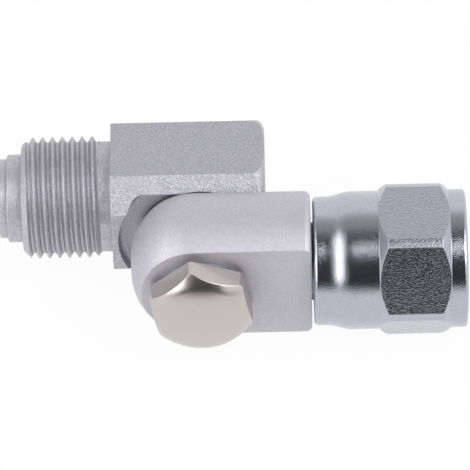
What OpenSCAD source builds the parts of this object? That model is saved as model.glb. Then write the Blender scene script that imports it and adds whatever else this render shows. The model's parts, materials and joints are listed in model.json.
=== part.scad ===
// Swivel fitting: two high-pressure bodies that turn about a hollow bolt. The outlet body has a
// male thread with a pilot nose, and the inlet body carries a free-turning coupling nut.
// Millimetres. Pieces are drawn about the pivot, with the inlet pipe along +X, the bolt along Y and
// +Z up, and the finished part has its origin on the inlet pipe's axis, at the start of the nut's
// thread.

/* [Connection thread] */
// Major diameter of the connection thread
thread_d = 22.22; // [21.6:0.01:22.8]
// Pitch of the connection thread
thread_pitch = 1.814; // [1.5:0.001:2]
// Length of the male thread, with its lead-in
thread_len = 14.3; // [11:0.1:17]
// Depth of the lead-in chamfer on the male thread
thread_lead = 1.4; // [0.8:0.1:1.6]
// Radial clearance between the male and the female thread
thread_clear = 0.08; // [0.04:0.01:0.15]

/* [Outlet body] */
// Step from the thread's crest up to the flats of the square bar
bar_shoulder = 0.84; // [0.5:0.02:1.3]
// Leg of the chamfers along the bar's four corners
bar_chamfer = 5.1; // [4.6:0.1:5.6]
// Wall between the pocket and the bar's thread end
pocket_end_wall = 1.1; // [0.8:0.1:2.4]
// Distance from the pivot to the bar's plain end
bar_right = 11.95; // [11.2:0.05:14]
// Radius turned on the bar's plain end
bar_round = 2.6; // [1:0.1:3.2]
// Depth of the round pocket in the bar
pocket_depth = 2.65; // [2:0.05:3.2]
// Gap between the inlet body's round end and the pocket's wall
pocket_gap = 2.1; // [1.8:0.1:2.4]
// Radius between the pocket's wall and its floor
pocket_round = 1; // [0.4:0.1:1.4]
// Depth of the relief behind the male thread
relief_depth = 0.91; // [0.7:0.01:1.2]
// Width of the relief behind the male thread
relief_w = 2.1; // [1.6:0.1:2.6]
// Step from the thread's crest down to the pilot nose
nose_step = 3.07; // [2.6:0.01:3.6]
// Length of the pilot nose
nose_len = 2.8; // [2:0.1:4]
// Step from the pilot nose down to the sealing tip
tip_step = 0.81; // [0.5:0.01:1.2]
// Length of the sealing tip
tip_len = 1.6; // [1:0.1:2.4]
// Radius on the edge of the sealing tip
tip_round = 0.5; // [0.2:0.1:0.8]

/* [Fluid passages] */
// Diameter of the bore along both pipe axes
bore_d = 6; // [5:0.1:6.4]
// How far the outlet bore runs past the pivot
bore_past = 4; // [3:0.1:5]
// Depth of the countersink at the outlet's mouth
mouth_chamfer = 1.2; // [0.4:0.1:1.6]
// Included angle of a drill's point
drill_point = 118; // [90:1:140]

/* [Inlet body] */
// Step from the nut's plain band up to the inlet body's round bar
body_step = 0.4; // [0.2:0.05:0.7]
// Land between each of the bolt's seal grooves and the flat beside it
flat_land = 0.92; // [0.6:0.02:1.4]
// How far the rounded end falls short of a full round
body_end_short = 0.25; // [0.1:0.05:0.5]
// Radius of the small flat on the rounded end
body_end_flat = 1.3; // [1:0.1:2]
// Distance from the pivot to the nut end
body_right = 19.9; // [19.4:0.1:22]
// Radius turned on the nut end
body_round = 1.2; // [0.6:0.1:1.8]
// Wall of the neck that the nut turns on, round the bore
neck_wall = 4; // [3.6:0.1:4.2]
// Thickness of the collar
collar_w = 3.9; // [3.6:0.1:4.4]
// Chamfer on the collar's edges
collar_chamfer = 0.4; // [0.2:0.1:0.6]

/* [Pivot bolt] */
// Diameter of the bolt's shank
shank_d = 12; // [11.6:0.1:12.4]
// Radial running clearance of the shank in the inlet body
shank_clear = 0.05; // [0.03:0.01:0.08]
// How far the flats of the bolt's head stand out past the shank
head_rim = 2.5; // [2.3:0.05:2.7]
// Height of the domed head at its centre
head_h = 6.55; // [5.8:0.05:7.2]
// Height of the head at its corners
head_corner_h = 3.3; // [2.8:0.1:3.8]
// How far the head's turned corners stand out past its flats
head_corner_rise = 1.1; // [0.9:0.05:1.3]
// Rise of the crown in the middle of the head's face
crown_rise = 1.3; // [1:0.05:1.6]
// Width of the rounded rim between the crown and the turned corners
crown_rim = 2.7; // [2.2:0.05:3]
// Angle of the head about its axis
head_turn = -19.4; // [-40:0.1:40]
// Shoulder between the shank and the bolt's threaded end
bolt_shoulder = 1; // [0.9:0.05:1.3]
// Radial clearance of the bolt's threaded end
bolt_thread_clear = 0.02; // [0.01:0.01:0.05]
// Gap between the bolt's tip and the outlet's bore
bolt_tip_gap = 0.5; // [0.3:0.1:1.1]
// Chamfer on the tip of the bolt
bolt_tip_chamfer = 0.8; // [0.4:0.1:1.2]
// Diameter of the drilling along the bolt
drilling_d = 4.8; // [4:0.1:5]
// Diameter of the cross holes in the bolt
cross_d = 2.8; // [2.2:0.1:3.2]
// Number of cross holes in the bolt
cross_n = 4; // [2:1:6]
// How much wider than the bores the fluid groove round the bolt is
groove_extra = 0.4; // [0.2:0.1:0.8]
// Depth of the fluid groove
groove_depth = 1.1; // [0.8:0.1:1.2]

/* [Seals and washers] */
// Thickness of the washer under the bolt's head
head_washer_t = 1; // [0.8:0.05:1.2]
// How far the washer under the head is set in from the head's flats
head_washer_inset = 0.3; // [0.1:0.1:0.7]
// Thickness of the thrust washer between the two bodies
joint_washer_t = 0.8; // [0.6:0.05:1]
// How far the thrust washer reaches past the shank
joint_washer_rim = 4; // [3:0.1:4.4]
// Axial running clearance at each washer
washer_clear = 0.05; // [0.03:0.01:0.1]
// Radial clearance of the washers round the shank
washer_fit = 0.05; // [0.02:0.01:0.1]
// Depth of the seal grooves in the bolt
seal_depth = 1.25; // [1.1:0.05:1.4]
// Distance from the bolt's fluid groove to each seal groove
seal_land = 1; // [0.8:0.05:1.1]
// Width of the backup rings
backup_w = 1.1; // [0.9:0.05:1.2]
// Clearance of the rings in their grooves
ring_clear = 0.04; // [0.02:0.01:0.06]
// Thickness of the seal ring at the foot of the bolt
foot_seal_t = 1.1; // [0.9:0.05:1.2]
// Step from the bore up to the inlet seal's inner edge
inlet_seal_step = 0.4; // [0.3:0.1:0.7]
// How far the inlet seal is set in from the neck's surface
inlet_seal_inset = 0.45; // [0.2:0.05:0.8]
// Depth of the inlet seal's seat in the collar
inlet_seat_depth = 2; // [1.6:0.1:2.4]
// How far the inlet seal stands out of the collar
inlet_seal_proud = 0.9; // [0.6:0.1:1.2]

/* [Coupling nut] */
// Wall between the thread's crests and the plain bands beside the hexagon
nut_wall = 1.31; // [1.2:0.01:1.6]
// How far the hexagon's flats stand out past the plain bands
nut_flat_rise = 0.05; // [0.05:0.05:0.4]
// How far the hexagon's turned corners stand out past the plain bands
nut_corner_rise = 1.525; // [1.3:0.025:1.7]
// Angle of the nut about its axis
nut_turn = 27.2; // [0:0.1:60]
// Step from the plain band down to the rolled-in end
rolled_step = 0.85; // [0.6:0.05:1.1]
// Length of the rolled-in end
rolled_len = 2; // [1.6:0.05:2.4]
// Length over which the skirt swells to the plain band
swell_len = 5.1; // [4.2:0.1:5.8]
// Length of the plain band between the skirt and the hexagon
band_len = 4.65; // [4:0.05:5.3]
// Length of the hexagon with its chamfers
hex_len = 12.85; // [12:0.05:14]
// Length of the plain collar at the open end
nut_end_len = 3; // [2.4:0.1:3.6]
// Wall of the rolled skirt
skirt_wall = 1.85; // [1.7:0.05:2]
// Thickness of the lip that traps the collar
lip_w = 1.95; // [1.8:0.05:2.2]
// Gap between the inlet body and the nut
nut_gap = 0.4; // [0.3:0.05:0.6]
// Clearance of the nut round the neck and beside the collar
neck_clear = 0.28; // [0.2:0.02:0.34]
// Clearance between the collar's rim and the nut's chamber
chamber_clear = 0.4; // [0.3:0.05:0.6]
// Length of the nut's chamber past the collar
chamber_past = 3.05; // [2.6:0.05:3.6]
// Width of the relief inside the nut's thread
nut_relief_w = 2.2; // [1.6:0.1:2.8]
// Radius on the nut's end edges
nut_round = 0.7; // [0.3:0.1:0.9]

/* [Hidden] */
$fn = 96;

// How far a cutter runs past the face that it opens
past = 1;
// Steps along a turned arc
arc_steps = 18;

// Radii from the diameters above
thread_r = thread_d / 2;
shank_r = shank_d / 2;
bore_r = bore_d / 2;
drilling_r = drilling_d / 2;

// Thread form: 60 degree flanks, with flats of an eighth and a quarter of the pitch
flank = 30;
crest_flat = thread_pitch / 8;
root_flat = thread_pitch / 4;
thread_depth = (thread_pitch - crest_flat - root_flat) / 2 / tan(flank);
root_r = thread_r - thread_depth;
nut_major_r = thread_r + thread_clear;
nut_minor_r = nut_major_r - thread_depth;

// Radii of the nut, from its thread outwards
nut_band_r = nut_major_r + nut_wall;
nut_flat_r = nut_band_r + nut_flat_rise;
nut_corner_r = nut_band_r + nut_corner_rise;
rolled_r = nut_band_r - rolled_step;

// Radii inside the nut, and those of the inlet body's collar, neck and seal
wide_r = nut_band_r - skirt_wall;
chamber_r = rolled_r - skirt_wall;
collar_r = chamber_r - chamber_clear;
neck_r = bore_r + neck_wall;
inlet_seal_r = neck_r - inlet_seal_inset;

// The two bodies, and the pocket that one turns in
body_r = nut_band_r + body_step;
body_left = body_r - body_end_short;
pocket_r = body_r + pocket_gap;
bar_half = thread_r + bar_shoulder;
bar_left = pocket_r + pocket_end_wall;
nose_r = thread_r - nose_step;
tip_r = nose_r - tip_step;
relief_r = thread_r - relief_depth;

// Stations along the outlet, measured from the pivot
thread_end = -bar_left - relief_w;
thread_start = thread_end - thread_len;
nose_start = thread_start - nose_len;
tip_start = nose_start - tip_len;

// Seal grooves in the bolt, one each side of the fluid groove
groove_w = bore_d + groove_extra;
seal_from = groove_w / 2 + seal_land;
seal_groove_r = shank_r - seal_depth;
ring_r = (seal_depth - ring_clear) / 2;
o_ring_y = seal_from + ring_clear + ring_r;
backup_from = o_ring_y + ring_r + ring_clear;
seal_to = backup_from + backup_w + ring_clear;

// Stations along the bolt: the inlet body's flats, its head, the pocket's floor and its tip
flat_y = seal_to + flat_land;
head_y = -flat_y - washer_clear - head_washer_t;
floor_y = flat_y + washer_clear + joint_washer_t;
near_y = floor_y - pocket_depth;
axis_offset = near_y + bar_half;
bolt_end_y = axis_offset - bore_r - bolt_tip_gap;
bolt_thread_r = shank_r - bolt_shoulder;
head_flat_r = shank_r + head_rim;
head_corner_r = head_flat_r + head_corner_rise;

// Face of the head: a shallow crown, and a rim that runs on from its slope to the turned corners
crown_edge = head_corner_r - crown_rim;
crown_r = (crown_edge * crown_edge + crown_rise * crown_rise) / crown_rise / 2;
crown_tilt = asin(crown_edge / crown_r);
rim_drop = head_h - head_corner_h - crown_rise;
rim_r = (crown_rim * crown_rim + rim_drop * rim_drop)
    / (rim_drop * cos(crown_tilt) - crown_rim * sin(crown_tilt)) / 2;
rim_tilt = 2 * atan(rim_drop / crown_rim) - crown_tilt;

// Static seal round the neck of the bolt's threaded end
foot_r = foot_seal_t / 2;
foot_neck_r = bolt_thread_r - foot_r;
foot_ring_r = foot_neck_r + ring_clear / 2 + foot_r;
foot_seat_r = foot_ring_r + foot_r + ring_clear / 2;
foot_seat_w = foot_seal_t + ring_clear;

// Stations along the inlet and the nut
nut_start = body_right + nut_gap;
lip_end = nut_start + lip_w;
collar_start = lip_end + neck_clear;
collar_end = collar_start + collar_w;
seat_x = collar_end - inlet_seat_depth;
swell_start = nut_start + rolled_len;
band_start = swell_start + swell_len;
hex_start = band_start + band_len;
hex_end = hex_start + hex_len;
nut_end = hex_end + nut_end_len;
relief_from = collar_end + chamber_past;
thread_from = relief_from + nut_relief_w;
nut_mouth = nut_major_r - nut_minor_r + thread_clear;
datum_x = nut_end - nut_mouth;

// Finish colours
cast_grey = "#a9a9b0";
satin_grey = "#b5b5bd";
nickel = "#bdb5b0";
zinc = "#a3a7b3";
steel = "#8f9096";
rubber = "#1d1d1f";
white_ring = "#e6e3da";
amber_ring = "#cdb88a";

// Points along an arc in the plane, from one angle to another
function arc(centre, r, from, to) = [
    for (i = [0:arc_steps])
        let (a = from + (to - from) * i / arc_steps) centre + r * [cos(a), sin(a)]
];

// Rise or fall between two radii as two equal arcs that meet halfway, with points [radius, station]
function swell(r0, r1, z0, z1) =
    let (rise = r1 - r0, run = z1 - z0, r = (run * run + rise * rise) / rise / 4,
         half = atan2(run / 2, r - rise / 2))
    concat(arc([r0 + r, z0], r, 180, 180 - half), arc([r1 - r, z1], r, -half, 0));

// Moves a piece from the pivot to the part's own origin
module placed() {
    translate([-datum_x, 0, 0]) children();
}

// Turns what is drawn up the Z axis to lie along X, at a distance behind the inlet pipe
module along_x(y = 0) {
    translate([0, y, 0]) rotate([0, 90, 0]) children();
}

// Turns what is drawn up the Z axis to lie along Y, as the bolt does
module along_y() {
    rotate([-90, 0, 0]) children();
}

// Solid of revolution from [radius, station] points
module turned(points) {
    rotate_extrude() polygon(points);
}

// Plain rod between two stations
module rod(r, from, to) {
    translate([0, 0, from]) cylinder(r = r, h = to - from);
}

// Rod whose rim is turned to a true radius at its last station
module round_rod(r, from, to, round_r) {
    way = sign(to - from);
    length = abs(to - from);
    translate([0, 0, from])
        rotate([90 - way * 90, 0, 0])
            rotate_extrude()
                intersection() {
                    union() {
                        square([r, length - round_r]);
                        square([r - round_r, length]);
                        translate([r - round_r, length - round_r]) circle(r = round_r);
                    }
                    square([r, length]);
                }
}

// Drilled hole with a pointed end, between its mouth and its full depth
module drilled(r, mouth, depth) {
    way = sign(depth - mouth);
    point = depth + way * r / tan(drill_point / 2);
    turned([[0, mouth], [r, mouth], [r, depth], [0, point]]);
}

// Flat ring or sleeve between two stations
module ring(r_in, r_out, from, to) {
    difference() {
        rod(r_out, from, to);
        rod(r_in, from - past, to + past);
    }
}

// Round-section ring about the Z axis
module torus(ring_radius, section_radius, station) {
    translate([0, 0, station]) rotate_extrude() translate([ring_radius, 0]) circle(r = section_radius);
}

// Section of the thread's grooves, each one floor_w wide at floor_r and open past mouth_r
module groove_section(from, to, mouth_r, floor_r, floor_w) {
    way = sign(mouth_r - floor_r);
    open_r = mouth_r + way * past / 4;
    open_w = floor_w + 2 * abs(open_r - floor_r) * tan(flank);
    for (z = [from:thread_pitch:to]) {
        polygon([
            [open_r, z - open_w / 2],
            [floor_r, z - floor_w / 2],
            [floor_r, z + floor_w / 2],
            [open_r, z + open_w / 2]
        ]);
    }
}

// Male thread, relief, pilot nose and sealing tip in one turned section
module outlet_spigot() {
    lead_r = thread_r - thread_lead;
    groove_from = thread_start + thread_lead + root_flat / 4;
    rotate_extrude() {
        difference() {
            polygon(concat(
                [[0, tip_start]],
                arc([tip_r - tip_round, tip_start + tip_round], tip_round, -90, 0),
                [
                    [tip_r, nose_start],
                    [nose_r - tip_round / 2, nose_start],
                    [nose_r, nose_start + tip_round / 2],
                    [nose_r, thread_start],
                    [lead_r, thread_start],
                    [thread_r, thread_start + thread_lead],
                    [thread_r, thread_end - thread_lead / 2],
                    [relief_r, thread_end],
                    [relief_r, -bar_left + past],
                    [0, -bar_left + past]
                ]
            ));
            groove_section(groove_from, thread_end, thread_r, root_r, root_flat);
        }
    }
}

// Square bar with chamfered corners, its plain end turned round
module outlet_bar() {
    inner = bar_half - bar_chamfer;
    corner_r = norm([bar_half, inner]);
    intersection() {
        translate([-bar_left, axis_offset, 0])
            rotate([90, 0, 90])
                linear_extrude(bar_left + bar_right)
                    polygon([
                        [bar_half, inner], [inner, bar_half], [-inner, bar_half], [-bar_half, inner],
                        [-bar_half, -inner], [-inner, -bar_half], [inner, -bar_half], [bar_half, -inner]
                    ]);
        along_x(axis_offset) round_rod(corner_r, -bar_left - past, bar_right, bar_round);
    }
}

// Outlet body: bar and spigot in one piece, with its round pocket, bore and tapped hole
module outlet_body() {
    color(cast_grey)
        placed()
            difference() {
                union() {
                    outlet_bar();
                    along_x(axis_offset) outlet_spigot();
                }
                along_y() round_rod(pocket_r, near_y - past, floor_y, pocket_round);
                along_x(axis_offset) {
                    drilled(bore_r, tip_start - past, bore_past);
                    turned([
                        [0, tip_start - past],
                        [bore_r + mouth_chamfer + past, tip_start - past],
                        [bore_r, tip_start + mouth_chamfer],
                        [0, tip_start + mouth_chamfer]
                    ]);
                }
                along_y() {
                    rod(bolt_thread_r + bolt_thread_clear, floor_y - past, axis_offset);
                    rod(foot_seat_r, floor_y - past, floor_y + foot_seat_w);
                }
            }
}

// Inlet body: round bar with a bullet end and two flats, its neck, collar, bore and bolt hole
module inlet_body() {
    end_r = body_r - body_end_flat;
    hole_r = shank_r + shank_clear;
    seat_r = inlet_seal_r + ring_clear;
    edge = 0.4;
    color(satin_grey)
        placed()
            difference() {
                union() {
                    difference() {
                        along_x()
                            turned(concat(
                                [[0, -body_left]],
                                arc([body_end_flat, end_r - body_left], end_r, -90, 0),
                                arc([body_r - body_round, body_right - body_round], body_round, 0, 90),
                                [[0, body_right]]
                            ));
                        for (side = [-1, 1]) {
                            translate([-body_left - past, side * (flat_y + body_r) - body_r, -body_r])
                                cube([body_left + body_right + past, 2 * body_r, 2 * body_r]);
                        }
                    }
                    along_x()
                        turned([
                            [0, body_right - past],
                            [neck_r, body_right - past],
                            [neck_r, collar_start],
                            [collar_r - collar_chamfer, collar_start],
                            [collar_r, collar_start + collar_chamfer],
                            [collar_r, collar_end - collar_chamfer],
                            [collar_r - collar_chamfer, collar_end],
                            [0, collar_end]
                        ]);
                }
                along_x() {
                    rod(bore_r, 0, collar_end + past);
                    rod(seat_r, seat_x, collar_end + past);
                }
                along_y() {
                    rod(hole_r, -flat_y - past, flat_y + past);
                    for (side = [-1, 1]) {
                        turned([
                            [0, side * (flat_y - edge)],
                            [hole_r, side * (flat_y - edge)],
                            [hole_r + edge + past, side * (flat_y + past)],
                            [0, side * (flat_y + past)]
                        ]);
                    }
                }
            }
}

// Outside of the nut: rolled skirt, swell, band, and the hexagon cut on its larger bar
module nut_outside() {
    hex_r = nut_flat_r / cos(30);
    intersection() {
        turned(concat(
            [[0, nut_start]],
            arc([rolled_r - nut_round, nut_start + nut_round], nut_round, -90, 0),
            swell(rolled_r, nut_band_r, swell_start, band_start),
            [
                [nut_band_r, hex_start],
                [nut_corner_r, hex_start + nut_corner_rise],
                [nut_corner_r, hex_end - nut_corner_rise],
                [nut_band_r, hex_end]
            ],
            arc([nut_band_r - nut_round, nut_end - nut_round], nut_round, 0, 90),
            [[0, nut_end]]
        ));
        rotate([0, 0, -nut_turn])
            translate([0, 0, nut_start - past])
                cylinder(r = hex_r, h = nut_end - nut_start + 2 * past, $fn = 6);
    }
}

// Inside of the nut: lip, chamber for the collar, relief and female thread
module nut_inside() {
    hole_r = neck_r + neck_clear;
    ridges = floor((datum_x - thread_from) / thread_pitch);
    groove_from = datum_x - root_flat / 2 - (ridges - 0.5) * thread_pitch;
    rotate_extrude() {
        polygon(concat(
            [
                [0, nut_start - past],
                [hole_r, nut_start - past],
                [hole_r, lip_end],
                [chamber_r, lip_end]
            ],
            swell(chamber_r, wide_r, max(swell_start, lip_end), band_start),
            [
                [wide_r, relief_from],
                [nut_major_r, relief_from],
                [nut_major_r, thread_from],
                [nut_minor_r, thread_from],
                [nut_minor_r, datum_x],
                [nut_minor_r + nut_mouth + past, nut_end + past],
                [0, nut_end + past]
            ]
        ));
        groove_section(groove_from, datum_x, nut_minor_r, nut_major_r, crest_flat);
    }
}

// Coupling nut: one piece, its skirt rolled in over the inlet body's collar
module coupling_nut() {
    color(zinc)
        placed()
            along_x()
                difference() {
                    nut_outside();
                    nut_inside();
                }
}

// Hexagonal head with a domed face, its corners turned back
module bolt_head() {
    face_y = head_y - head_h;
    rim_from = [crown_edge - rim_r * sin(crown_tilt), face_y + crown_rise + rim_r * cos(crown_tilt)];
    rotate([0, 0, -head_turn])
        intersection() {
            translate([0, 0, face_y]) cylinder(r = head_flat_r / cos(30), h = head_h, $fn = 6);
            turned(concat(
                [[0, head_y]],
                arc([0, face_y + crown_r], crown_r, -90, crown_tilt - 90),
                arc(rim_from, rim_r, crown_tilt - 90, rim_tilt - 90),
                [[head_corner_r, head_y]]
            ));
        }
}

// Pivot bolt: head, shank with its fluid and seal grooves, threaded end and drillings
module pivot_bolt() {
    color(nickel)
        placed()
            along_y()
                difference() {
                    union() {
                        bolt_head();
                        turned([
                            [0, head_y - past],
                            [shank_r, head_y - past],
                            [shank_r, floor_y],
                            [foot_neck_r, floor_y],
                            [foot_neck_r, floor_y + foot_seat_w],
                            [bolt_thread_r, floor_y + foot_seat_w + foot_r],
                            [bolt_thread_r, bolt_end_y - bolt_tip_chamfer],
                            [bolt_thread_r - bolt_tip_chamfer, bolt_end_y],
                            [0, bolt_end_y]
                        ]);
                    }
                    ring(shank_r - groove_depth, shank_r + past, -groove_w / 2, groove_w / 2);
                    for (side = [-1, 1]) {
                        middle = side * (seal_from + seal_to) / 2;
                        half = (seal_to - seal_from) / 2;
                        ring(seal_groove_r, shank_r + past, middle - half, middle + half);
                    }
                    drilled(drilling_r, bolt_end_y + past, -cross_d / 2);
                    for (i = [0:cross_n - 1]) {
                        rotate([90, 0, 360 / cross_n * (i + 0.5)]) cylinder(d = cross_d, h = shank_r + past);
                    }
                }
}

// Washer between the bolt's head and the inlet body's front flat
module head_washer() {
    color(steel)
        placed()
            along_y()
                ring(
                    shank_r + washer_fit, head_flat_r - head_washer_inset,
                    head_y, head_y + head_washer_t
                );
}

// Thrust washer between the inlet body's rear flat and the pocket's floor
module joint_washer() {
    color(amber_ring)
        placed()
            along_y() ring(shank_r + washer_fit, shank_r + joint_washer_rim, floor_y - joint_washer_t, floor_y);
}

// Sealing ring in one of the bolt's two seal grooves
module bolt_o_ring(side) {
    color(rubber)
        placed()
            along_y() torus(seal_groove_r + ring_r, ring_r, side * o_ring_y);
}

// Backup ring beside a sealing ring, on the side away from the fluid
module bolt_backup_ring(side) {
    middle = side * (backup_from + backup_w / 2);
    color(white_ring)
        placed()
            along_y()
                ring(
                    seal_groove_r + ring_clear / 2, shank_r - ring_clear / 2,
                    middle - backup_w / 2, middle + backup_w / 2
                );
}

module head_o_ring() {
    bolt_o_ring(-1);
}

module head_backup_ring() {
    bolt_backup_ring(-1);
}

module joint_o_ring() {
    bolt_o_ring(1);
}

module joint_backup_ring() {
    bolt_backup_ring(1);
}

// Static sealing ring at the foot of the bolt's shank
module foot_seal() {
    color(rubber)
        placed()
            along_y() torus(foot_ring_r, foot_r, floor_y + foot_seat_w / 2);
}

// Plastic seat that the mating nose presses on
module inlet_seal() {
    color(white_ring)
        placed()
            along_x() ring(bore_r + inlet_seal_step, inlet_seal_r, seat_x, collar_end + inlet_seal_proud);
}

outlet_body();
inlet_body();
coupling_nut();
pivot_bolt();
head_washer();
joint_washer();
head_o_ring();
head_backup_ring();
joint_o_ring();
joint_backup_ring();
foot_seal();
inlet_seal();
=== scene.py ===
"""Swivel fitting: finishes, true screw threads, a studio with flags and lamps, and the photograph's view.

The object's sizes are millimetres, turned into Blender's metres by MM. The studio's sizes are metres.
Angles are degrees.
"""

import json
import math

import bmesh
import bpy
from mathutils import Matrix, Vector

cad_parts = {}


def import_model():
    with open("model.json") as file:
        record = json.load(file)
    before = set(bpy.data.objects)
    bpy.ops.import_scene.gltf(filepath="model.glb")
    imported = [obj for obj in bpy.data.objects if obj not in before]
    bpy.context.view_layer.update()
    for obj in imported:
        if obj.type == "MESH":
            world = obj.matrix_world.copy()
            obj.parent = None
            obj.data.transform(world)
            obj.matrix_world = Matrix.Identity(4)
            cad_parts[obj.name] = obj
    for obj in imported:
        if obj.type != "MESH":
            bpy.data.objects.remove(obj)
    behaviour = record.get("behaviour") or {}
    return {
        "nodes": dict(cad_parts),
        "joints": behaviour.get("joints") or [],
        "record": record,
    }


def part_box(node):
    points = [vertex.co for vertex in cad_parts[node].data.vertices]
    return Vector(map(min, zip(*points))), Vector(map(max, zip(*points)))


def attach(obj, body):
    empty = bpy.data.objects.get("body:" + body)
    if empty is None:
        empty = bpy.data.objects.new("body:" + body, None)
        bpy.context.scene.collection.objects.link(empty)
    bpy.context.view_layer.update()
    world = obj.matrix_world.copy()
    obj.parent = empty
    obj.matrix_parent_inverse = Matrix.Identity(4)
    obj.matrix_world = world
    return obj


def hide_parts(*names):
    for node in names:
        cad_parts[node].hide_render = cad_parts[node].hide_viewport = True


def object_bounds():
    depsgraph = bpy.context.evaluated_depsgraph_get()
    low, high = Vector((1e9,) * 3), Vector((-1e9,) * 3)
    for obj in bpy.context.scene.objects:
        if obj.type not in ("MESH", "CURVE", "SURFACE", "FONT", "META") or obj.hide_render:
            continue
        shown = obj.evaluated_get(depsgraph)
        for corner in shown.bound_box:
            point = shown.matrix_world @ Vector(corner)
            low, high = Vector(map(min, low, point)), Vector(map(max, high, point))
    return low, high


MM = 0.001

# The photograph's camera, as fitted to the object's outlines
IMAGE_SIDE = 470
SENSOR_SIDE = 36
FOCAL_PIXELS = 4972.9
CAMERA_DISTANCE = 900
CAMERA_ELEVATION = 45.55
CAMERA_YAW = 0.42
CAMERA_ROLL = -1.57
CAMERA_RIGHT = 6.14
CAMERA_UP = 5.17
CLIP_NEAR = 50
CLIP_FAR = 50000

# Meshes: how near a face lies to what it is matched with, what is welded, and which edges stay crisp
TOLERANCE = 0.01
WELD = 0.0005
CRISP_ANGLE = 28

# Connection thread, the same on the spigot and in the nut
PITCH = 1.814
FLANK_ANGLE = 30
CREST_SHARE = 1 / 8
ROOT_SHARE = 1 / 4
FEMALE_CLEARANCE = 0.08
TURN_STEPS = 144
PITCH_STEPS = 16
CORNER_ROOM = 0.3

# Spigot of the outlet body, from its tip to the square bar
BORE_RADIUS = 3
MOUTH_CHAMFER = 1.2
MOUTH_OVERLAP = 0.3
TIP_LENGTH = 1.6
TIP_STEP = 0.81
TIP_ROUND = 0.5
NOSE_LENGTH = 2.8
NOSE_EDGE = 0.25
THREAD_LENGTH = 14.3
LEAD_CHAMFER = 1.4
CREST_OFFSET = 1.749
RELIEF_WIDTH = 2.1
RELIEF_CLEAR = 0.03
RELIEF_CHAMFER = 0.9
RELIEF_FILLET = 0.2
SPIGOT_REACH = 11.5
ROUND_STEPS = 8

# Nut: its thread, and the distance from its axis to the hexagon's flats
NUT_THREAD_LENGTH = 15.158
NUT_THREAD_MOUTH = 1.062
NUT_FLAT_RADIUS = 12.55

# Finishes: the noise that clouds their gloss, the noise that mottles their colour, and the worn edges
CLOUD_SIZE = 1.5
CLOUD_DETAIL = 4
CLOUD_RANGE = (0.3, 0.7)
MOTTLE_SIZE = 0.4
MOTTLE_RANGE = (0.35, 0.65)
WORN_SAMPLES = 6

# Shared colours: the nut's plating, and the dark of the pits and of the painted shade in grooves and
# corners
ZINC = (0.475, 0.49, 0.555)
PIT_AND_SHADE_DARK = (0.1, 0.1, 0.105)

# Painted shade in corners: how far round a point the open view is judged, and the share over which it fades
CORNER_SHADE_REACH = 1.1
CORNER_SHADE_RANGE = (0.35, 0.7)
CORNER_SHADE_SAMPLES = 8

# Room: its light on the object, the floor's side and colour, and how far white hides the floor's shadow
ROOM_LIGHT = 0.85
FLOOR_SIDE = 30
FLOOR_COLOUR = 0.8
FLOOR_WHITE = 0.95

# Arch of cards over the object: the name, lowest and highest elevation, width and shade of each
ARCH_RADIUS = 1.5
ARCH = (
    ("front_flag", -1, 47, 1.6, 0.05),
    ("front_edge", 47, 58, 1.6, 0.08),
    ("front_strip", 58, 67, 1.6, 0.4),
    ("top_flag", 67, 88, 2.2, 0.08),
    ("top_edge", 88, 98, 2.2, 0.22),
    ("top_card", 98, 122, 2.2, 0.45),
    ("top_rim", 122, 130, 2.2, 0.62),
)

# Dark card that lies before the object: how far its middle is before and below the object's centre
TABLE_WIDTH = 1.0
TABLE_DEPTH = 1.16
TABLE_SHADE = 0.07
TABLE_FORWARD = 0.74
TABLE_DROP = 0.0115

# Grey card behind the spigot
WALL_WIDTH = 2.4
WALL_HEIGHT = 1.2
WALL_SHADE = 0.5
WALL_AZIMUTH = -115
WALL_ELEVATION = 15
WALL_DISTANCE = 1.7

# Lamps: the name, width, height, power in watts, azimuth, elevation and roll of each
LAMP_DISTANCE = 1.3
LAMPS = (
    ("left_lamp", 0.9, 1.9, 10.5, -57, 34, 37),
    ("right_lamp", 0.9, 1.0, 10.5, 54, 48, 0),
)

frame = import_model()
cad_low, cad_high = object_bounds()

mounts = {mount["name"]: mount for mount in frame["record"]["mounts"]}
joints = {joint["name"]: joint for joint in frame["joints"]}
PIVOT = Vector(joints["swivel"]["pos_m"])
OUTLET_Y = mounts["outlet_thread"]["pos_m"][1]
THREAD_RADIUS = mounts["outlet_thread"]["dims"]["r_mm"]
NOSE_RADIUS = mounts["outlet_nose"]["dims"]["r_mm"]
THREAD_DEPTH = PITCH * (1 - CREST_SHARE - ROOT_SHARE) / 2 / math.tan(math.radians(FLANK_ANGLE))


# Meshes


def new_object(name, mesh):
    """Puts a mesh into the scene as an object."""
    made = bpy.data.objects.new(name, mesh)
    bpy.context.scene.collection.objects.link(made)
    return made


def surface(name, rows, inside=False):
    """Skins rows of points, welds what meets, and shades it smooth with crisp edges."""
    bm = bmesh.new()
    grid = [[bm.verts.new(point) for point in row] for row in rows]
    for row, after in zip(grid, grid[1:]):
        for i in range(len(row) - 1):
            corners = [row[i], row[i + 1], after[i + 1], after[i]]
            bm.faces.new(reversed(corners) if inside else corners)
    bmesh.ops.remove_doubles(bm, verts=bm.verts, dist=WELD * MM)
    bmesh.ops.dissolve_degenerate(bm, edges=bm.edges, dist=WELD * MM)
    mesh = bpy.data.meshes.new(name)
    bm.to_mesh(mesh)
    bm.free()
    mesh.shade_smooth()
    mesh.set_sharp_from_angle(angle=math.radians(CRISP_ANGLE))
    return new_object(name, mesh)


def turned_row(axis_y, place):
    """One turn of points about the line y = axis_y, z = 0.

    place gives the (station, radius) at a share of the turn.
    """
    row = []
    for i in range(TURN_STEPS + 1):
        station, radius = place(i / TURN_STEPS)
        angle = 2 * math.pi * i / TURN_STEPS
        y = axis_y + radius * MM * math.cos(angle)
        row.append((station * MM, y, radius * MM * math.sin(angle)))
    return row


def turned_rows(axis_y, profile):
    """Rows of a plain turned surface, one for each (station, radius) of its profile."""
    return [turned_row(axis_y, lambda share, point=point: point) for point in profile]


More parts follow.
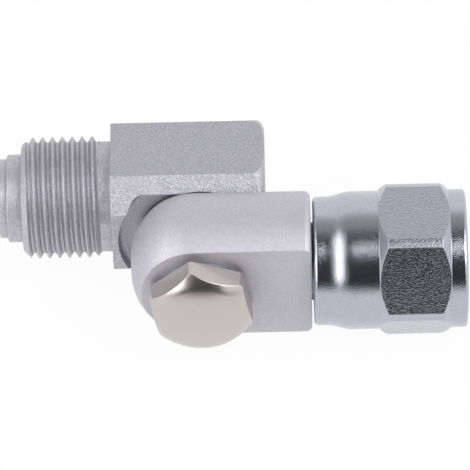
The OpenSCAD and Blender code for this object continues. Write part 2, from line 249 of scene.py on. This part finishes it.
def height_at(station, outline):
    """Height of an outline, given as (station, height) points, at a station."""
    for (x0, y0), (x1, y1) in zip(outline, outline[1:]):
        if station <= x1:
            return y0 + (y1 - y0) * max(0, station - x0) / (x1 - x0)
    return outline[-1][1]


def tooth_depth(phase):
    """Share of the thread's depth at a phase from 0 to 1, counted from the middle of a crest."""
    away = min(phase, 1 - phase)
    flank_start = CREST_SHARE / 2
    flank_end = 0.5 - ROOT_SHARE / 2
    return min(1, max(0, (away - flank_start) / (flank_end - flank_start)))


def tooth_phases():
    """Phases of the vertices along one pitch: the tooth's corners, and the even steps clear of them."""
    half_crest, half_root = CREST_SHARE / 2, ROOT_SHARE / 2
    corners = [half_crest, 0.5 - half_root, 0.5 + half_root, 1 - half_crest]
    even = [i / PITCH_STEPS for i in range(PITCH_STEPS)]
    clear = [e for e in even if min(abs(e - c) for c in corners) > CORNER_ROOM / PITCH_STEPS]
    return sorted(corners + clear)


def thread_rows(axis_y, outline, crest, root, offset):
    """Rows of a right-hand thread, cut down to its turned outline, or opened up to it if it is female.

    The rows run on past both ends of the outline, and the stations are held at those ends.
    """
    start, end = outline[0][0], outline[-1][0]
    keep = min if crest > root else max
    rows = []
    for turn in range(-2, math.ceil((end - start) / PITCH) + 1):
        for phase in tooth_phases():
            radius = crest + (root - crest) * tooth_depth(phase)

            def place(share, turn=turn, phase=phase, radius=radius):
                station = start + offset + PITCH * (turn + phase + share)
                station = min(end, max(start, station))
                return station, keep(radius, height_at(station, outline))

            rows.append(turned_row(axis_y, place))
    return rows


def without(node, name, dropped):
    """A copy of a CAD node's mesh without the faces whose stations and radii dropped() picks."""
    mesh = frame["nodes"][node].data.copy()
    mesh.name = name
    axis_y = OUTLET_Y if node == "outlet_body" else 0
    bm = bmesh.new()
    bm.from_mesh(mesh)
    doomed = []
    for face in bm.faces:
        stations = [vert.co.x / MM for vert in face.verts]
        radii = [math.hypot(vert.co.y - axis_y, vert.co.z) / MM for vert in face.verts]
        if dropped(stations, radii):
            doomed.append(face)
    bmesh.ops.delete(bm, geom=doomed, context="FACES")
    bm.to_mesh(mesh)
    bm.free()
    return new_object(name, mesh)


# Pieces


def outlet_pieces():
    """The outlet body: its bar from the CAD mesh, and a spigot with a true thread."""
    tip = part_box("outlet_body")[0].x / MM
    nose = tip + TIP_LENGTH
    start = nose + NOSE_LENGTH
    end = start + THREAD_LENGTH
    bar = end + RELIEF_WIDTH
    tip_radius = NOSE_RADIUS - TIP_STEP
    root = THREAD_RADIUS - THREAD_DEPTH
    relief = root - RELIEF_CLEAR

    def on_spigot(stations, radii):
        return min(stations) < bar - TOLERANCE and BORE_RADIUS + TOLERANCE < max(radii) < SPIGOT_REACH

    block = without("outlet_body", "outlet_block", on_spigot)
    front = [(tip + MOUTH_CHAMFER + MOUTH_OVERLAP, BORE_RADIUS)]
    front += [(tip + MOUTH_CHAMFER, BORE_RADIUS), (tip, BORE_RADIUS + MOUTH_CHAMFER)]
    for i in range(ROUND_STEPS + 1):
        angle = math.pi / 2 * i / ROUND_STEPS
        station = tip + TIP_ROUND * (1 - math.cos(angle))
        front.append((station, tip_radius - TIP_ROUND * (1 - math.sin(angle))))
    front += [(nose, tip_radius), (nose, NOSE_RADIUS - NOSE_EDGE), (nose + NOSE_EDGE, NOSE_RADIUS)]
    front += [(start, NOSE_RADIUS)]
    outline = [
        (start, THREAD_RADIUS - LEAD_CHAMFER),
        (start + LEAD_CHAMFER, THREAD_RADIUS),
        (end - RELIEF_CHAMFER, THREAD_RADIUS),
        (end, relief),
    ]
    back = [(bar - RELIEF_FILLET, relief), (bar, relief + RELIEF_FILLET)]
    rows = turned_rows(OUTLET_Y, front)
    rows += thread_rows(OUTLET_Y, outline, THREAD_RADIUS, root, CREST_OFFSET)
    rows += turned_rows(OUTLET_Y, back)
    spigot = surface("outlet_spigot", rows)
    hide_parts("outlet_body")
    return [block, spigot]


def nut_pieces():
    """The coupling nut: its shell from the CAD mesh, and a true thread inside it."""
    major = THREAD_RADIUS + FEMALE_CLEARANCE
    minor = major - THREAD_DEPTH
    start = -NUT_THREAD_LENGTH
    end = NUT_THREAD_MOUTH

    def on_thread(stations, radii):
        along = start - TOLERANCE < min(stations) < end - TOLERANCE
        return along and max(radii) < major + FEMALE_CLEARANCE + TOLERANCE

    shell = without("coupling_nut", "nut_shell", on_thread)
    outline = [(start, major), (start + THREAD_DEPTH, minor), (0, minor), (end, minor + end)]
    thread = surface("nut_thread", thread_rows(0, outline, minor, major, 0), inside=True)
    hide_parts("coupling_nut")
    return [shell, thread]


def mark_flats(shell):
    """Gives the hexagon's flats the second of the nut's two materials."""
    for face in shell.data.polygons:
        from_axis = face.normal.y * face.center.y + face.normal.z * face.center.z
        level = abs(face.normal.x) < TOLERANCE
        if level and abs(from_axis / MM - NUT_FLAT_RADIUS) < TOLERANCE:
            face.material_index = 1


# Finishes


def new_node(tree, kind, **settings):
    """A shader node with its settings."""
    made = tree.nodes.new(kind)
    for key, value in settings.items():
        setattr(made, key, value)
    return made


def noise(tree, size, detail=2):
    """Noise from about 0 to 1, whose grains are about size millimetres wide."""
    coords = new_node(tree, "ShaderNodeTexCoord")
    mapping = new_node(tree, "ShaderNodeMapping")
    mapping.inputs["Scale"].default_value = [1 / (size * MM)] * 3
    texture = new_node(tree, "ShaderNodeTexNoise")
    texture.inputs["Scale"].default_value = 1
    texture.inputs["Detail"].default_value = detail
    tree.links.new(coords.outputs["Object"], mapping.inputs["Vector"])
    tree.links.new(mapping.outputs["Vector"], texture.inputs["Vector"])
    return texture.outputs["Fac"]


def mapped(tree, value, low, high, to_low, to_high):
    """A value taken from one range to another, and held at its ends."""
    made = new_node(tree, "ShaderNodeMapRange")
    for name, number in (("From Min", low), ("From Max", high), ("To Min", to_low), ("To Max", to_high)):
        made.inputs[name].default_value = number
    tree.links.new(value, made.inputs["Value"])
    return made.outputs["Result"]


def bumped(tree, height, depth, normal=None):
    """Bump from a height of 0 to 1 that stands for depth millimetres."""
    made = new_node(tree, "ShaderNodeBump")
    made.inputs["Distance"].default_value = depth * MM
    tree.links.new(height, made.inputs["Height"])
    if normal:
        tree.links.new(normal, made.inputs["Normal"])
    return made.outputs["Normal"]


def spots(tree, size, low, high):
    """0 to 1 where noise of a size in millimetres rises from low to high."""
    return mapped(tree, noise(tree, size), low, high, 0, 1)


def blend(tree, factor, first, second):
    """A colour between two others. Each is a colour or another blend."""
    made = new_node(tree, "ShaderNodeMix", data_type="RGBA")
    tree.links.new(factor, made.inputs["Factor"])
    for name, colour in (("A", first), ("B", second)):
        if isinstance(colour, tuple):
            made.inputs[name].default_value = (*colour, 1)
        else:
            tree.links.new(colour, made.inputs[name])
    return made.outputs["Result"]


def corner_shade_mask(tree, most):
    """Mask of the painted shade: 0 on open surfaces, rising to most in narrow corners and grooves."""
    view = new_node(tree, "ShaderNodeAmbientOcclusion", samples=CORNER_SHADE_SAMPLES)
    view.inputs["Distance"].default_value = CORNER_SHADE_REACH * MM
    return mapped(tree, view.outputs["AO"], *CORNER_SHADE_RANGE, most, 0)


def finish(
    name,
    colour,
    roughness,
    metallic=1,
    edge=0.12,
    grain=None,
    pits=None,
    spread=0.04,
    mottle=0.04,
    painted_shade=0,
):
    """A procedural finish.

    edge is the radius to which its edges seem worn. grain is the (size, depth) of its dimples. pits is
    the (size, low, high) of its dark specks. spread and mottle vary the roughness and the colour. The last
    argument is how much painted shade darkens its grooves and corners.
    """
    material = bpy.data.materials.new(name)
    material.use_nodes = True
    tree = material.node_tree
    shader = tree.nodes["Principled BSDF"]
    shader.inputs["Metallic"].default_value = metallic

    worn = new_node(tree, "ShaderNodeBevel", samples=WORN_SAMPLES)
    worn.inputs["Radius"].default_value = edge * MM
    normal = worn.outputs["Normal"]
    if grain:
        size, depth = grain
        normal = bumped(tree, noise(tree, size), depth, normal)
    tree.links.new(normal, shader.inputs["Normal"])

    cloud = noise(tree, CLOUD_SIZE, CLOUD_DETAIL)
    rough = mapped(tree, cloud, *CLOUD_RANGE, roughness - spread, roughness + spread)
    tree.links.new(rough, shader.inputs["Roughness"])

    dark = tuple(c * (1 - mottle) for c in colour)
    light = tuple(min(1, c * (1 + mottle)) for c in colour)
    paint = blend(tree, spots(tree, MOTTLE_SIZE, *MOTTLE_RANGE), dark, light)
    if pits:
        paint = blend(tree, spots(tree, *pits), paint, PIT_AND_SHADE_DARK)
    # Painted shade: grooves and corners are darkened by how little open view they have
    if painted_shade:
        paint = blend(tree, corner_shade_mask(tree, painted_shade), paint, PIT_AND_SHADE_DARK)
    tree.links.new(paint, shader.inputs["Base Color"])
    return material


def give(material, *pieces):
    """Gives each piece one finish."""
    for piece in pieces:
        piece.data.materials.clear()
        piece.data.materials.append(material)


# Studio


def direction(azimuth, elevation):
    """Unit vector from the object to a place round it. Azimuth 0 is the camera's side, and 90 the nut's."""
    a, e = math.radians(azimuth), math.radians(elevation)
    return Vector((math.sin(a) * math.cos(e), -math.cos(a) * math.cos(e), math.sin(e)))


def facing(azimuth, elevation, distance, centre, roll=0):
    """Place at a distance from the centre, with its -Z towards it, and rolled about that line."""
    back = direction(azimuth, elevation)
    turn = (-back).to_track_quat("-Z", "Y").to_matrix().to_4x4()
    rolled = turn @ Matrix.Rotation(math.radians(roll), 4, "Z")
    return Matrix.Translation(centre + back * distance) @ rolled


def glow(tree, colour, strength):
    """Emission of one colour."""
    made = new_node(tree, "ShaderNodeEmission")
    made.inputs["Color"].default_value = (*colour, 1)
    made.inputs["Strength"].default_value = strength
    return made.outputs["Emission"]


def seen_rays(tree, share=1.0):
    """share for camera, glossy and transmission rays, and 0 for those that light the object."""
    path = new_node(tree, "ShaderNodeLightPath")
    total = path.outputs["Is Camera Ray"]
    for name in ("Is Glossy Ray", "Is Transmission Ray"):
        add = new_node(tree, "ShaderNodeMath", operation="ADD", use_clamp=True)
        tree.links.new(total, add.inputs[0])
        tree.links.new(path.outputs[name], add.inputs[1])
        total = add.outputs[0]
    scaled = new_node(tree, "ShaderNodeMath", operation="MULTIPLY")
    scaled.inputs[1].default_value = share
    tree.links.new(total, scaled.inputs[0])
    return scaled.outputs[0]


def world(light):
    """White for what the camera and the metal see, and a plain grey light on the object."""
    made = bpy.data.worlds.new("white_room")
    made.use_nodes = True
    tree = made.node_tree
    tree.nodes.clear()
    shades = []
    for strength in (light, 1):
        shade = new_node(tree, "ShaderNodeBackground")
        shade.inputs["Strength"].default_value = strength
        shade.inputs["Color"].default_value = (1, 1, 1, 1)
        shades.append(shade.outputs["Background"])
    mix = new_node(tree, "ShaderNodeMixShader")
    tree.links.new(seen_rays(tree), mix.inputs["Fac"])
    tree.links.new(shades[0], mix.inputs[1])
    tree.links.new(shades[1], mix.inputs[2])
    output = new_node(tree, "ShaderNodeOutputWorld")
    tree.links.new(mix.outputs["Shader"], output.inputs["Surface"])
    bpy.context.scene.world = made


def plate(name, width, height):
    """Flat rectangle that faces its own -Z."""
    mesh = bpy.data.meshes.new(name)
    x, y = width / 2, height / 2
    mesh.from_pydata([(-x, -y, 0), (-x, y, 0), (x, y, 0), (x, -y, 0)], [], [(0, 1, 2, 3)])
    return new_object(name, mesh)


def card(name, width, height, shade, place):
    """Card of one shade that the metal reflects. The camera doesn't see it and it casts no shadow."""
    made = plate(name, width, height)
    made.matrix_world = place
    material = bpy.data.materials.new(name)
    material.use_nodes = True
    tree = material.node_tree
    tree.nodes.clear()
    output = new_node(tree, "ShaderNodeOutputMaterial")
    tree.links.new(glow(tree, (1, 1, 1), shade), output.inputs["Surface"])
    made.data.materials.append(material)
    made.visible_camera = False
    made.visible_shadow = False


def arch(centre):
    """Cards over the object, from its front to its back, that draw the bands along the nut."""
    for name, low, high, width, shade in ARCH:
        height = 2 * ARCH_RADIUS * math.tan(math.radians(high - low) / 2)
        card(name, width, height, shade, facing(0, (low + high) / 2, ARCH_RADIUS, centre))


def lamp(name, width, height, power, place):
    """Soft box. The camera doesn't see it."""
    data = bpy.data.lights.new(name, "AREA")
    data.shape = "RECTANGLE"
    data.size = width
    data.size_y = height
    data.energy = power
    made = bpy.data.objects.new(name, data)
    made.matrix_world = place
    made.visible_camera = False
    bpy.context.scene.collection.objects.link(made)


def lamps(centre):
    """The soft boxes at the object's left and right."""
    for name, width, height, power, azimuth, elevation, roll in LAMPS:
        lamp(name, width, height, power, facing(azimuth, elevation, LAMP_DISTANCE, centre, roll))


def dark_table(centre):
    """Card just over the floor, so that the arch's dark front goes on below the horizon."""
    place = Matrix.Translation(centre + Vector((0, -TABLE_FORWARD, -TABLE_DROP)))
    card("floor_flag", TABLE_WIDTH, TABLE_DEPTH, TABLE_SHADE, place)


def left_wall(centre):
    """Grey card behind the spigot, which shades the left ends of the bodies."""
    place = facing(WALL_AZIMUTH, WALL_ELEVATION, WALL_DISTANCE, centre)
    card("left_card", WALL_WIDTH, WALL_HEIGHT, WALL_SHADE, place)


def floor(height):
    """White floor that keeps a faint shadow."""
    made = plate("floor", FLOOR_SIDE, FLOOR_SIDE)
    made.location = (0, 0, height)
    material = bpy.data.materials.new("floor")
    material.use_nodes = True
    tree = material.node_tree
    tree.nodes.clear()
    matt = new_node(tree, "ShaderNodeBsdfDiffuse")
    matt.inputs["Color"].default_value = (FLOOR_COLOUR, FLOOR_COLOUR, FLOOR_COLOUR, 1)
    mix = new_node(tree, "ShaderNodeMixShader")
    output = new_node(tree, "ShaderNodeOutputMaterial")
    tree.links.new(seen_rays(tree, FLOOR_WHITE), mix.inputs["Fac"])
    tree.links.new(matt.outputs["BSDF"], mix.inputs[1])
    tree.links.new(glow(tree, (1, 1, 1), 1), mix.inputs[2])
    tree.links.new(mix.outputs["Shader"], output.inputs["Surface"])
    made.data.materials.append(material)


def photo_camera():
    """The photograph's camera."""
    back = direction(CAMERA_YAW, CAMERA_ELEVATION)
    yaw, roll = math.radians(CAMERA_YAW), math.radians(CAMERA_ROLL)
    level = Vector((math.cos(yaw), math.sin(yaw), 0))
    upright = back.cross(level)
    right = level * math.cos(roll) + upright * math.sin(roll)
    up = upright * math.cos(roll) - level * math.sin(roll)
    data = bpy.data.cameras.new("camera")
    data.sensor_width = SENSOR_SIDE
    data.lens = FOCAL_PIXELS / IMAGE_SIDE * SENSOR_SIDE
    data.clip_start = CLIP_NEAR * MM
    data.clip_end = CLIP_FAR * MM
    made = bpy.data.objects.new("camera", data)
    place = PIVOT + (back * CAMERA_DISTANCE + right * CAMERA_RIGHT + up * CAMERA_UP) * MM
    turn = Matrix((right, up, back)).transposed().to_4x4()
    made.matrix_world = Matrix.Translation(place) @ turn
    bpy.context.scene.collection.objects.link(made)
    bpy.context.scene.camera = made


# The object

outlet = outlet_pieces()
nut = nut_pieces()
for piece in outlet:
    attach(piece, "outlet")
for piece in nut:
    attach(piece, "nut")

nodes = frame["nodes"]
# Both steels below get painted shade in their grooves and corners from their last argument
blasted = finish(
    "blasted_steel",
    (0.51, 0.505, 0.555),
    0.5,
    edge=0.2,
    grain=(0.3, 0.16),
    pits=(0.4, 0.70, 0.74),
    mottle=0.14,
    painted_shade=0.7,
)
turned = finish(
    "turned_steel",
    (0.56, 0.555, 0.605),
    0.52,
    edge=0.1,
    grain=(0.3, 0.1),
    mottle=0.1,
    painted_shade=0.7,
)
satin = finish(
    "satin_steel",
    (0.60, 0.595, 0.64),
    0.62,
    edge=0.2,
    grain=(0.3, 0.04),
    pits=(0.5, 0.76, 0.79),
    mottle=0.05,
)
zinc = finish("bright_zinc", ZINC, 0.16, edge=0.15, grain=(0.2, 0.035), spread=0.02)
milled_zinc = finish("milled_zinc", ZINC, 0.13, edge=0.15, grain=(0.26, 0.085), spread=0.02)
nickel = finish(
    "nickel",
    (0.59, 0.536, 0.516),
    0.25,
    edge=0.2,
    grain=(0.3, 0.003),
    spread=0.02,
    mottle=0.01,
)
washer_steel = finish("washer_steel", (0.40, 0.40, 0.42), 0.4, grain=(0.2, 0.005))
# The joint washer's near-black colour is painted shade for the gap between the bodies, where it shows
bearing_plastic = finish("bearing_plastic", (0.05, 0.05, 0.055), 0.45, metallic=0)
rubber = finish("rubber", (0.02, 0.02, 0.021), 0.5, metallic=0, edge=0.05)
white_plastic = finish("white_plastic", (0.80, 0.79, 0.75), 0.35, metallic=0, edge=0.05)
give(blasted, outlet[0])
give(turned, outlet[1])
give(satin, nodes["inlet_body"])
give(zinc, *nut)
nut[0].data.materials.append(milled_zinc)
mark_flats(nut[0])
give(nickel, nodes["pivot_bolt"])
give(washer_steel, nodes["head_washer"])
give(bearing_plastic, nodes["joint_washer"])
give(rubber, nodes["head_o_ring"], nodes["joint_o_ring"], nodes["foot_seal"])
give(white_plastic, nodes["head_backup_ring"], nodes["joint_backup_ring"], nodes["inlet_seal"])

# The studio

centre = (cad_low + cad_high) / 2
photo_camera()
world(ROOM_LIGHT)
floor(cad_low.z)
arch(centre)
dark_table(centre)
left_wall(centre)
lamps(centre)

bpy.context.scene.view_settings.view_transform = "Standard"
